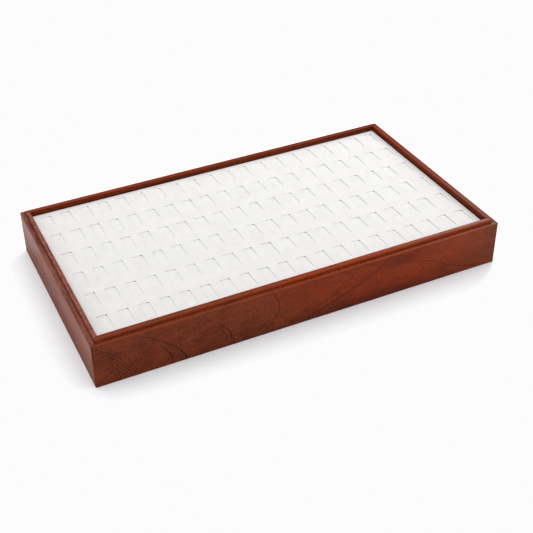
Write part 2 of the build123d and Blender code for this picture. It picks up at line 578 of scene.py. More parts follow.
    def _tone(self, at: BoardPoint) -> Socket:
        """Work out the ground's tone: how much stain it took, and the painted light and shade of some
        patches.

        Args:
            at: the point on the board.

        Returns:
            The tone, above 0 where the wood is darker and below 0 where it is lighter.
        """
        tree = at.tree
        mottle = figure(tree, at.place, self.mottle_size, detail=5.0, roughness=0.88)
        limits = (*self.mottle_spread, -self.mottle_depth, self.mottle_depth)
        tone = add_node(tree, "MapRange", (mottle, *limits))
        if self.streak_depth:
            streaks = figure(tree, at.place, self.streak_size, detail=4.0, roughness=0.6)
            limits = (*self.streak_spread, -self.streak_depth, self.streak_depth)
            drawn = add_node(tree, "MapRange", (streaks, *limits))
            tone = add_node(tree, "Math", (tone, drawn), operation="ADD")
        if self.clouds:
            tone = add_node(tree, "Math", (tone, self._patches(at, self.clouds)), operation="ADD")
        return tone

    def _patches(self, at: BoardPoint, clouds: Sequence[Cloud]) -> Socket:
        """Add up soft patches.

        Args:
            at: the point on the board.
            clouds: the patches, at least one.

        Returns:
            Their sum, 0 where there are none.
        """
        tree = at.tree
        total: Socket = 0.0
        flat = add_node(tree, "CombineXYZ", (at.along, at.height))
        for cloud in clouds:
            middle = add_node(tree, "VectorMath", (flat, (*cloud.centre, 0.0)), operation="SUBTRACT")
            shrink = (1 / cloud.reach[0], 1 / cloud.reach[1], 1.0)
            shares = add_node(tree, "VectorMath", (middle, shrink), operation="MULTIPLY")
            far = add_node(tree, "VectorMath", (shares,), operation="LENGTH").outputs["Value"]
            patch = add_node(tree, "MapRange", (far, cloud.core, 1.0, cloud.depth, 0.0), **EASED)
            total = add_node(tree, "Math", (total, patch), operation="ADD")
        return total

    def _flecks(self, at: BoardPoint) -> bpy.types.Node:
        """Draw the pores, short dark dashes along the grain.

        Real pores are under 0.1 mm wide. These are 1 mm wide, or they wouldn't show.

        Args:
            at: the point on the board.

        Returns:
            How strong the pores are.
        """
        pores = figure(at.tree, at.place, self.pore_size, detail=1.0)
        return add_node(at.tree, "MapRange", (pores, *self.pore_spread, 0.0, self.pore_depth))

    def _edges(self, at: BoardPoint) -> bpy.types.Node:
        """Find the arrises of the stepped rim, where the stain is rubbed thin and a highlight is painted, and
        the raised lip's outer face, where light is painted.

        Args:
            at: the point on the board.

        Returns:
            How much lighter and redder the wood is drawn: worn stain and a painted highlight on the arrises,
            painted light on the lip's outer face.
        """
        tree = at.tree
        level, depth = self.ledge_height, self.ledge_width
        low, full = (level + rise for rise in self.step_start)
        near, far = (depth + behind for behind in self.step_end)
        # painted light on the raised lip's outer face
        raised = add_node(tree, "MapRange", (at.height, low, full, 0.0, self.step_painted_light))
        outside = add_node(tree, "MapRange", (at.out, near, far, 1.0, self.step_rest))
        wear_and_light_share = add_node(tree, "Math", (raised, outside), operation="MULTIPLY")
        here = add_node(tree, "CombineXYZ", (at.out, at.height))
        # worn stain with a painted highlight along each arris
        for arris in ((0.0, level), (depth, self.height), (self.thickness, self.height)):
            gap = add_node(tree, "VectorMath", (here, (*arris, 0.0)), operation="DISTANCE").outputs["Value"]
            beside = add_node(tree, "MapRange", (gap, *self.arris_reach, self.arris_wear_and_highlight, 0.0), **EASED)
            wear_and_light_share = add_node(tree, "Math", (wear_and_light_share, beside), operation="MAXIMUM")
        return wear_and_light_share

    def _mitre(self, at: BoardPoint) -> bpy.types.Node:
        """Find the hairline of glue where two boards meet.

        Args:
            at: the point on the board.

        Returns:
            How strong the line is.
        """
        tree = at.tree
        left = add_node(tree, "Math", (at.along, at.out), operation="SUBTRACT")
        end = add_node(tree, "Math", (self.run, at.along), operation="SUBTRACT")
        right = add_node(tree, "Math", (end, at.out), operation="SUBTRACT")
        nearest = add_node(tree, "Math", (left, right), operation="MINIMUM")
        return add_node(tree, "MapRange", (nearest, *self.glue_reach, self.glue_depth, 0.0), **EASED)


@dataclass(frozen=True)
class MicrofibreSuede:
    """White microfibre with a short brushed nap.

    The nap scatters light evenly and lifts it a little at a shallow angle, and its direction varies in soft
    patches.
    """

    name: str = "white_microfibre"
    light_nap: str = "#cfcecd"
    dark_nap: str = "#c9c8c7"
    patch: float = 16.0  # nap patches
    fibre: float = 0.35  # tufts of nap; real fibres are 0.005 mm and wouldn't show
    fibre_share: float = 0.5  # how strong the tufts are beside the patches
    brushed_spread: Point2 = (0.5, 1.0)
    glow: float = 0.5  # how far light spreads in the nap
    roughness: float = 0.95

    def material(self) -> bpy.types.Material:
        """Build the material.

        Returns:
            The material, for the cover and the tongues.
        """
        material, tree = start_material(self.name)
        place = places(tree)
        patches = add_node(tree, "TexNoise", {"Vector": place, "Scale": 1 / self.patch})
        tufts = add_node(tree, "TexNoise", {"Vector": place, "Scale": 1 / self.fibre})
        brushed = add_node(tree, "Math", (tufts, self.fibre_share, patches), operation="MULTIPLY_ADD")
        share = add_node(tree, "MapRange", (brushed, *self.brushed_spread))
        tones = {MIX_SHARE: share, MIX_UNDER: linear(self.dark_nap), MIX_OVER: linear(self.light_nap)}
        surface = add_node(tree, "BsdfPrincipled", {
            "Base Color": add_node(tree, "Mix", tones, data_type="RGBA").outputs[MIXED],
            "Roughness": self.roughness,
            "Normal": add_node(tree, "Bump", {"Strength": 0.3, "Distance": 0.08 * MM, "Height": tufts}),
            "Specular IOR Level": 0.2,
            "Sheen Weight": 0.15,
            "Sheen Roughness": 0.6,
            "Subsurface Weight": 0.6,
            "Subsurface Radius": (1.0, 1.0, 1.0),
            "Subsurface Scale": self.glow * MM,
        })
        add_node(tree, "OutputMaterial", {"Surface": surface})
        return material


@dataclass(frozen=True)
class SawnWood:
    """Bare planed wood. The plane leaves it dull and even, so its straight grain and dark late wood show."""

    name: str
    early: str
    late: str
    spacing: float  # between growth rings
    stretch: float = 40.0  # how much longer than wide the grain's marks are
    ring_spread: Point2 = (0.35, 0.62)  # where the late wood ends, and where the early wood is pure
    grain: Grain = Grain.ALONG_X
    roughness: float = 0.65

    def material(self) -> bpy.types.Material:
        """Build the material.

        Returns:
            The material, for strips and panels of one wood.
        """
        material, tree = start_material(self.name)
        wide = 2 * self.spacing
        rings = figure(tree, places(tree, self.grain.value), (wide * self.stretch, wide, wide), detail=4.0)
        share = add_node(tree, "MapRange", (rings, *self.ring_spread))
        tones = {MIX_SHARE: share, MIX_UNDER: linear(self.late), MIX_OVER: linear(self.early)}
        surface = add_node(tree, "BsdfPrincipled", {
            "Base Color": add_node(tree, "Mix", tones, data_type="RGBA").outputs[MIXED],
            "Roughness": self.roughness,
            "Normal": add_node(tree, "Bump", {"Strength": 0.3, "Distance": 0.1 * MM, "Height": rings}),
        })
        add_node(tree, "OutputMaterial", {"Surface": surface})
        return material


@dataclass(frozen=True)
class PressedBoard:
    """Board pressed from fibres, such as hardboard or greyboard: a dull even ground with specks."""

    name: str
    ground: str
    speck: str
    speck_size: float  # bundles of fibre; single ones are 0.03 mm wide and wouldn't show
    speck_spread: Point2 = (0.38, 0.56)  # where a speck ends, and where the ground is pure
    roughness: float = 0.8

    def material(self) -> bpy.types.Material:
        """Build the material.

        Returns:
            The material, for hidden panels.
        """
        material, tree = start_material(self.name)
        specks = add_node(tree, "TexNoise", {
            "Vector": places(tree), "Scale": 1 / self.speck_size, "Detail": 6.0, "Roughness": 0.7,
        })
        share = add_node(tree, "MapRange", (specks, *self.speck_spread))
        tones = {MIX_SHARE: share, MIX_UNDER: linear(self.speck), MIX_OVER: linear(self.ground)}
        surface = add_node(tree, "BsdfPrincipled", {
            "Base Color": add_node(tree, "Mix", tones, data_type="RGBA").outputs[MIXED],
            "Roughness": self.roughness,
            "Normal": add_node(tree, "Bump", {"Strength": 0.2, "Distance": 0.1 * MM, "Height": specks}),
        })
        add_node(tree, "OutputMaterial", {"Surface": surface})
        return material


@dataclass(frozen=True)
class StudioPaper:
    """Matt white background paper, a little fibrous."""

    name: str = "white_studio_paper"
    ground: str = "#f8fbfd"
    fibre: float = 3.0  # soft unevenness; paper's own fibres wouldn't show

    def material(self) -> bpy.types.Material:
        """Build the material.

        Returns:
            The material, for the floor.
        """
        material, tree = start_material(self.name)
        fibres = add_node(tree, "TexNoise", {"Vector": places(tree), "Scale": 1 / self.fibre, "Detail": 3.0})
        surface = add_node(tree, "BsdfPrincipled", {
            "Base Color": linear(self.ground),
            "Roughness": 1.0,
            "Normal": add_node(tree, "Bump", {"Strength": 0.05, "Distance": 0.05 * MM, "Height": fibres}),
            "Specular IOR Level": 0.0,
        })
        add_node(tree, "OutputMaterial", {"Surface": surface})
        return material


# The wooden tray


@dataclass
class WoodenTray:
    """Four mitred boards with a stepped rim, their splines and the floor panel."""

    # How far the arcs lean to the left: the height and the lean there
    front_lean: tuple[Point2, ...] = (
        (0.0, 0.0), (5.0, 0.2), (9.0, 2.4), (14.5, 7.4), (20.0, 12.6), (31.0, 22.8), (42.5, 33.7),
        (53.5, 44.5),
    )
    # The growth lines: course, points, half width, depth and span
    front_veins: tuple[Vein, ...] = (
        Vein(Course.UPRIGHT, ((0, 40), (7.5, 38.7), (16.3, 37.5), (27.5, 31), (40, 22)), 0.4, 0.5, (-9, 34)),
        Vein(Course.UPRIGHT, ((0, 77), (10, 76), (16, 74), (22, 70), (28, 66), (50, 52)), 0.5, 1.0, (-9, 27)),
        Vein(
            Course.UPRIGHT, ((0, 91), (7, 90), (14, 86), (21, 80), (30, 70), (37, 60), (44, 50)),
            0.75, 1.0, (-9, 42),
        ),
        Vein(
            Course.UPRIGHT, ((0, 137), (5, 137.5), (10, 133.5), (16, 134), (23, 128.5), (29, 123)),
            0.4, 0.65, (-9, 27),
        ),
        Vein(
            Course.UPRIGHT, ((0, 141), (6, 141.5), (12, 139), (19, 137.5), (26, 131), (33, 126), (40, 118)),
            0.6, 0.85, (-9, 32),
        ),
        Vein(Course.UPRIGHT, ((0, 153), (12, 155), (24, 150), (40, 138)), 0.9, 0.35, (-9, 20)),
        Vein(
            Course.UPRIGHT, ((2, 173), (8, 180), (17, 187), (28, 191), (38, 190), (46, 186), (53, 180)),
            0.5, 0.75,
        ),
        Vein(
            Course.UPRIGHT,
            ((9, 225), (13, 233), (19, 246), (24, 254), (29, 259), (33, 263), (36, 271), (39, 273), (44, 269),
             (49, 261)),
            0.5, 0.85, (10, 60),
        ),
        Vein(
            Course.LYING,
            ((205, 1), (225, 5), (241, 11), (267, 20), (280, 25), (290, 29), (300, 35), (306, 40), (318, 46)),
            1.3, 0.52, (215, 300),
        ),
        Vein(
            Course.LYING,
            ((325, 39), (337, 37), (345, 34), (356, 31), (369, 27), (375, 24), (387, 17), (400, 11), (412, 7),
             (431, 4), (447, 2)),
            0.6, 0.5, (338, 445),
        ),
        Vein(Course.UPRIGHT, ((20, 398), (22, 391), (31, 381), (40, 375), (46, 369)), 0.45, 0.5, (20, 48)),
        Vein(Course.LYING, ((285, 50), (292, 47), (300, 45), (310, 42), (322, 38)), 1.4, 0.25, (288, 312)),
        Vein(Course.LYING, ((425, 50), (431, 46), (437, 41), (444, 37)), 0.5, 0.6, (430, 440)),
    )
    # The soft patches: centre, reach and depth
    front_clouds: tuple[Cloud, ...] = (
        Cloud((52, 25), (20, 26), 0.2),
        Cloud((118, 20), (26, 26), 0.15),
        Cloud((158, 12), (24, 24), 0.25),
        Cloud((60, 25), (190, 60), 0.2),
        Cloud((330, 41), (28, 12), 0.38),
        Cloud((230, -6), (270, 26), 0.45),
        Cloud((310, -2), (110, 22), 0.32),
        Cloud((345, 26), (80, 16), -0.3),
        Cloud((400, 40), (45, 22), -0.35),
        Cloud((255, 30), (60, 22), -0.15),
        Cloud((446, 25), (22, 45), 0.3),
        # lighter along the raised lip's outer face: painted light
        Cloud((280, 52.0), (200, 2.6), -1.0),
        # darker along the step at the left end: painted shade
        Cloud((40, 51.8), (130, 2.4), 0.5),
    )
    front_embers: tuple[Cloud, ...] = (
        Cloud((315, 25), (145, 60), 1.0),
        Cloud((215, 48), (60, 24), 0.6),
    )
    left_painted_shade: tuple[Cloud, ...] = (
        # darker towards the foot along the whole board: painted shade
        Cloud((125, 0), (260, 42), 0.3),
        # darker along the step under the raised lip: painted shade
        Cloud((125, 51.5), (900, 2.3), 0.7),
    )
    splines: int = 4

    def build(self) -> None:
        """Dress the boards, the splines and the floor panel."""
        for node, finish in self._boards().items():
            dress(node, finish.material())
        beech = SawnWood("beech_spline", early="#c99a6b", late="#a87748", spacing=1.2).material()
        for number in range(1, self.splines + 1):
            dress(f"corner_spline_{number}", beech)
        plywood = SawnWood(
            "birch_plywood", early="#d9b988", late="#bf9560", spacing=2.5, stretch=14.0, roughness=0.6
        )
        dress("bottom_panel", plywood.material())

    def _boards(self) -> dict[str, StainedCherry]:
        """Describe each board's own cut of the wood, and the light and shade painted on some of them.

        Returns:
            The boards' finishes, by the names of their nodes.
        """
        length, width = ((cad_box[1][axis] - cad_box[0][axis]) * PER_METRE for axis in (0, 1))
        return {
            "front_board": StainedCherry(
                "stained_cherry_front", Grain.ALONG_X, length, width / 2, nest_lean=self.front_lean,
                veins=self.front_veins, clouds=self.front_clouds, embers=self.front_embers, ring_depth=0.08,
                # the raised lip's outer face gets painted light
                arris_wear_and_highlight=0.42, step_painted_light=0.62,
            ),
            "back_board": StainedCherry(
                "stained_cherry_back", Grain.ALONG_X, length, width / 2, ground="#6a250b", gloss=0.065,
                ring_wander=30.0, ring_spacing=5.5, ring_depth=0.4, mottle_size=(80.0, 9.0, 5.0),
                streak_depth=0.5, pore_size=(3.6, 1.0, 1.0), pore_depth=0.7,
            ),
            "left_board": StainedCherry(
                # its flat faces get a milky painted reflection
                "stained_cherry_left", Grain.ALONG_Y, width, length / 2, ground="#7c3515", painted_flat_reflection="#8a564c",
                roughness=0.3, gloss=0.045, dull_foot=0.15, ring_wander=14.0, ring_spacing=3.4,
                ring_depth=0.4, clouds=self.left_painted_shade, mottle_size=(60.0, 9.0, 6.0), streak_depth=0.35,
                pore_size=(3.2, 1.0, 1.0), pore_depth=0.9, arris_wear_and_highlight=0.2,
            ),
            "right_board": StainedCherry(
                "stained_cherry_right", Grain.ALONG_Y, width, length / 2, ground="#602007", gloss=0.045,
                ring_wander=20.0, ring_spacing=4.2, ring_depth=0.3, mottle_size=(60.0, 9.0, 6.0),
                streak_depth=0.5, pore_size=(3.6, 1.0, 1.0), pore_depth=0.7,
            ),
        }


# The insert


@dataclass
class SlotGrid:
    """The places of the ring slots, and the size of their windows."""

    columns: int = 20
    rows: int = 6
    pitch: Point2 = (21.25, 38.0)
    window: Point2 = (10.6, 22.4)
    pull: Point2 = (0.85, 1.0)  # how far the cover was pulled to the right and back when it was glued
    pull_loss: float = 0.35  # how much less far to the right it was in the last column

    def centre(self, column: int, row: int) -> Point2:
        """Give a cell's centre.

        Args:
            column: 0 at the left.
            row: 0 at the front.

        Returns:
            The centre, in plan.
        """
        return (
            (column - (self.columns - 1) / 2) * self.pitch[0],
            (row - (self.rows - 1) / 2) * self.pitch[1],
        )

    def window_centre(self, column: int, row: int) -> Point2:
        """Give a window's centre, which lies a little off its cell's.

        Args:
            column: 0 at the left.
            row: 0 at the front.

        Returns:
            The centre, in plan.
        """
        centre = self.centre(column, row)
        loss = self.pull_loss * column / (self.columns - 1)
        return (centre[0] + self.pull[0] - loss, centre[1] + self.pull[1])


@dataclass
class InsertCarcass:
    """The board and strips inside the insert."""

    grid: SlotGrid

    def build(self) -> None:
        """Dress the base, the rails, the ribs, the comb spines and the window panel."""
        hardboard = PressedBoard("hardboard", ground="#7a5638", speck="#4d3220", speck_size=1.4).material()
        greyboard = PressedBoard(
            "greyboard", ground="#a8a59e", speck="#85827b", speck_size=1.1, roughness=0.9
        ).material()
        pine, pine_across = (
            SawnWood(name, early="#e3c294", late="#c79357", spacing=2.2, grain=grain).material()
            for name, grain in (("planed_pine", Grain.ALONG_X), ("planed_pine_across", Grain.ALONG_Y))
        )
        dress("insert_base", hardboard)
        dress("window_panel", greyboard)
        for side, wood in (("front", pine), ("back", pine), ("left", pine_across), ("right", pine_across)):
            dress(f"insert_{side}_rail", wood)
        for number in range(1, self.grid.rows):
            dress(f"row_rib_{number}", pine)
        for number in range(1, self.grid.rows + 1):
            dress(f"comb_spine_{number}", greyboard)


@dataclass
class InsertCover:
    """One sheet of microfibre, stretched over the window panel and turned down in every window."""

    grid: SlotGrid
    thickness: float = 0.5
    rim_radius: float = 1.2
    roll_radius: float = 0.25  # where the sheet turns down into a window
    roll_apron: float = 1.3  # how much wider than the roll the ring of faces round it is
    corner_radius: float = 0.25  # of a window, in plan
    collar_depth: float = 1.8
    corner_steps: int = 4
    side_steps: tuple[int, int] = (3, 6)  # along a window's short and long sides
    roll_steps: int = 4
    cell_corner: Point2 = (2.0, 4.0)  # how far the fan at a cell's corner reaches
    skirt_steps: int = 5
    unevenness: float = 0.02  # how far a window lies off its place
    seed: int = 11
    rings_between: tuple[float, ...] = (0.0, 0.45, 0.8)  # where they lie from the cell's edge to the window's
    weld: float = 0.004  # points of neighbouring cells this close together are one
    shape: bmesh.types.BMesh = field(default_factory=bmesh.new)

    def build(self, material: bpy.types.Material) -> bpy.types.Object:
        """Make the cover's mesh and set it in the frame.

        Args:
            material: the microfibre.

        Returns:
            The finished piece.
        """
        low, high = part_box("microfibre_cover")
        half = (high.x * PER_METRE, high.y * PER_METRE)
        top, hem = high.z * PER_METRE, low.z * PER_METRE
        chance = random.Random(self.seed)
        for row in range(self.grid.rows):
            for column in range(self.grid.columns):
                self._cell(column, row, half, top, chance)
        self._rim(half, top, hem)
        bmesh.ops.remove_doubles(self.shape, verts=self.shape.verts, dist=self.weld * MM)
        bmesh.ops.recalc_face_normals(self.shape, faces=self.shape.faces)
        self._face_up()
        cover = smooth_piece("insert_cover", self.shape, material)
        solid = cover.modifiers.new("cloth_thickness", "SOLIDIFY")
        solid.thickness = self.thickness * MM
        solid.offset = -1.0  # the mesh is the sheet's outer side
        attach(cover, "insert")
        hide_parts("microfibre_cover")
        return cover

    def _face_up(self) -> None:
        """Turn the faces so that the sheet's outer side is the one that shows."""
        self.shape.faces.ensure_lookup_table()
        highest = max(self.shape.faces, key=lambda face: face.calc_center_median().z)
        if highest.normal.z < 0:
            bmesh.ops.reverse_faces(self.shape, faces=self.shape.faces)

    def _window_ring(self, centre: Point2, grow: float) -> list[Point2]:
        """List the points of a rounded rectangle, from the upper end of its right side on.

        Args:
            centre: the window's centre.
            grow: how far the ring lies outside the window's edge.

        Returns:
            The points, anticlockwise.
        """
        half = (self.grid.window[0] / 2 + grow, self.grid.window[1] / 2 + grow)
        radius = self.corner_radius + grow
        points: list[Point2] = []
        for quarter, sign in enumerate(QUARTERS):
            start = quarter * QUARTER_TURN
            middle = (centre[0] + sign[0] * (half[0] - radius), centre[1] + sign[1] * (half[1] - radius))
            for step in range(self.corner_steps + 1):
                turn = start + QUARTER_TURN * step / self.corner_steps
                points.append((middle[0] + radius * math.cos(turn), middle[1] + radius * math.sin(turn)))
            points.extend(self._side_points(quarter, middle, half, radius))
        return points

    def _side_points(self, quarter: int, middle: Point2, half: Point2, radius: float) -> list[Point2]:
        """List the points along the straight side that follows a corner.

        Args:
            quarter: the corner's number, 0 being at the back right, anticlockwise.
            middle: the middle of the corner's rounding.
            half: half the rectangle's width and length.
            radius: the rounding's radius.

        Returns:
            The points between the side's ends.
        """
        steps = self.side_steps[quarter % 2]
        run = 2 * (half[quarter % 2] - radius)
        turn = quarter * QUARTER_TURN + QUARTER_TURN
        start = (middle[0] + radius * math.cos(turn), middle[1] + radius * math.sin(turn))
        ahead = (math.cos(turn + QUARTER_TURN), math.sin(turn + QUARTER_TURN))
        return [
            (start[0] + ahead[0] * run * step / steps, start[1] + ahead[1] * run * step / steps)
            for step in range(1, steps)
        ]

    def _cell_ring(self, low: Point2, high: Point2) -> list[Point2]:
        """List the points of a cell's edge that match those of the window's ring.

        Args:
            low: the cell's lowest corner.
            high: the cell's highest corner.

        Returns:
            The points, anticlockwise.
        """
        corners = ((high[0], high[1]), (low[0], high[1]), (low[0], low[1]), (high[0], low[1]))
        half_steps = self.corner_steps // 2
        points: list[Point2] = []
        for quarter, corner in enumerate(corners):
            turn = quarter * QUARTER_TURN
            before = (math.cos(turn + QUARTER_TURN), math.sin(turn + QUARTER_TURN))
            after = (-math.cos(turn), -math.sin(turn))
            reach_after, reach_before = self.cell_corner[quarter % 2], self.cell_corner[1 - quarter % 2]
            for step in range(half_steps, -1, -1):
                back = reach_before * step / half_steps
                points.append((corner[0] - before[0] * back, corner[1] - before[1] * back))
            steps = self.side_steps[quarter % 2]
            run = math.dist(corner, corners[(quarter + 1) % 4]) - 2 * reach_after
            ways = [reach_after * step / half_steps for step in range(1, half_steps + 1)]
            ways += [reach_after + run * step / steps for step in range(1, steps)]
            points += [(corner[0] + after[0] * way, corner[1] + after[1] * way) for way in ways]
        return points

    def _cell_limits(self, column: int, row: int, half: Point2) -> tuple[Point2, Point2]:
        """Find a cell's limits. A cell at the side reaches to the edge of the flat top.

        Args:
            column: 0 at the left.
            row: 0 at the front.
            half: half the insert's length and width.

        Returns:
            The cell's lowest and highest corner.
        """
        centre = self.grid.centre(column, row)
        low = [centre[axis] - self.grid.pitch[axis] / 2 for axis in (0, 1)]
        high = [centre[axis] + self.grid.pitch[axis] / 2 for axis in (0, 1)]
        for axis, (index, count) in enumerate(((column, self.grid.columns), (row, self.grid.rows))):
            if index == 0:
                low[axis] = self.rim_radius - half[axis]
            if index == count - 1:
                high[axis] = half[axis] - self.rim_radius
        return (low[0], low[1]), (high[0], high[1])

    def _cell(self, column: int, row: int, half: Point2, top: float, chance: random.Random) -> None:
        """Add the sheet round one window, from the cell's edge down into the window.

        Args:
            column: 0 at the left.
            row: 0 at the front.
            half: half the insert's length and width.
            top: the height of the sheet's flat top.
            chance: where the window's small offset is drawn from.
        """
        off = (chance.uniform(-1, 1) * self.unevenness, chance.uniform(-1, 1) * self.unevenness)
        window = self.grid.window_centre(column, row)
        middle = (window[0] + off[0], window[1] + off[1])
        edge = self._cell_ring(*self._cell_limits(column, row, half))
        flat = self._window_ring(middle, self.roll_radius * self.roll_apron)
        rings = []
        for share in self.rings_between:
            rings.append([
                (a[0] + (b[0] - a[0]) * share, a[1] + (b[1] - a[1]) * share, top) for a, b in zip(edge, flat)
            ])
        rings.append([(x, y, top) for x, y in flat])
        for step in range(self.roll_steps + 1):
            turn = QUARTER_TURN * step / self.roll_steps
            grow = self.roll_radius * (1 - math.sin(turn))
            level = top - self.roll_radius * (1 - math.cos(turn))
            rings.append([(x, y, level) for x, y in self._window_ring(middle, grow)])
        rings.append([(x, y, top - self.collar_depth) for x, y in self._window_ring(middle, 0.0)])
        join_rings(self.shape, [add_ring(self.shape, ring) for ring in rings])

    def _rim(self, half: Point2, top: float, hem: float) -> None:
        """Add the rounded rim of the insert and the skirt below it.

        Args:
            half: half the insert's length and width.
            top: the height of the sheet's flat top.
            hem: the height of its lower edge.
        """
        bends = [QUARTER_TURN * step / self.roll_steps for step in range(self.roll_steps + 1)]
        levels = [
            (self.rim_radius * math.sin(turn), top - self.rim_radius * (1 - math.cos(turn))) for turn in bends
        ]
        fall = top - self.rim_radius - hem
        for step in range(1, self.skirt_steps + 1):
            levels.append((self.rim_radius, top - self.rim_radius - fall * step / self.skirt_steps))
        stations = self._stations(half)
        rings = [
            [(x + nx * out, y + ny * out, level) for (x, y), (nx, ny) in stations] for out, level in levels
        ]
        join_rings(self.shape, [add_ring(self.shape, ring) for ring in rings])

    def _stations(self, half: Point2) -> list[tuple[Point2, Point2]]:
        """List the points along the flat top's edge.

        Args:
            half: half the insert's length and width.

        Returns:
            Each point with its outward direction, anticlockwise.
        """
        x_limit, y_limit = half[0] - self.rim_radius, half[1] - self.rim_radius
        stations: list[tuple[Point2, Point2]] = []
        for quarter, sign in enumerate(QUARTERS):
            corner = (sign[0] * x_limit, sign[1] * y_limit)
            for step in range(self.corner_steps + 1):
                turn = quarter * QUARTER_TURN + QUARTER_TURN * step / self.corner_steps
                stations.append((corner, (math.cos(turn), math.sin(turn))))
            turn = (quarter + 1) * QUARTER_TURN
            outward = (round(math.cos(turn)), round(math.sin(turn)))
            stations.extend((point, outward) for point in self._edge_points(quarter, half))
        return stations

    def _edge_points(self, quarter: int, half: Point2) -> list[Point2]:
        """List the cells' points along the side of the flat top that follows a corner.

        Args:
            quarter: the corner's number, 0 being at the back right, anticlockwise.
            half: half the insert's length and width.

        Returns:
            The points between the side's ends.
        """
        found: list[Point2] = []
        last_column, last_row = self.grid.columns - 1, self.grid.rows - 1
        for index in range((self.grid.columns, self.grid.rows)[quarter % 2]):
            column, row = (
                (last_column - index, last_row), (0, last_row - index), (index, 0), (last_column, index)
            )[quarter]
            low, high = self._cell_limits(column, row, half)
            fixed = (high[1], low[0], low[1], high[0])[quarter]
            axis = 1 - quarter % 2  # the axis across the side
            on_side = [p for p in self._cell_ring(low, high) if abs(p[axis] - fixed) < SAME_PLACE]
            on_side.sort(key=lambda p: p[1 - axis], reverse=quarter in (0, 1))
            found.extend(on_side if not found else on_side[1:])
        return found[1:-1]


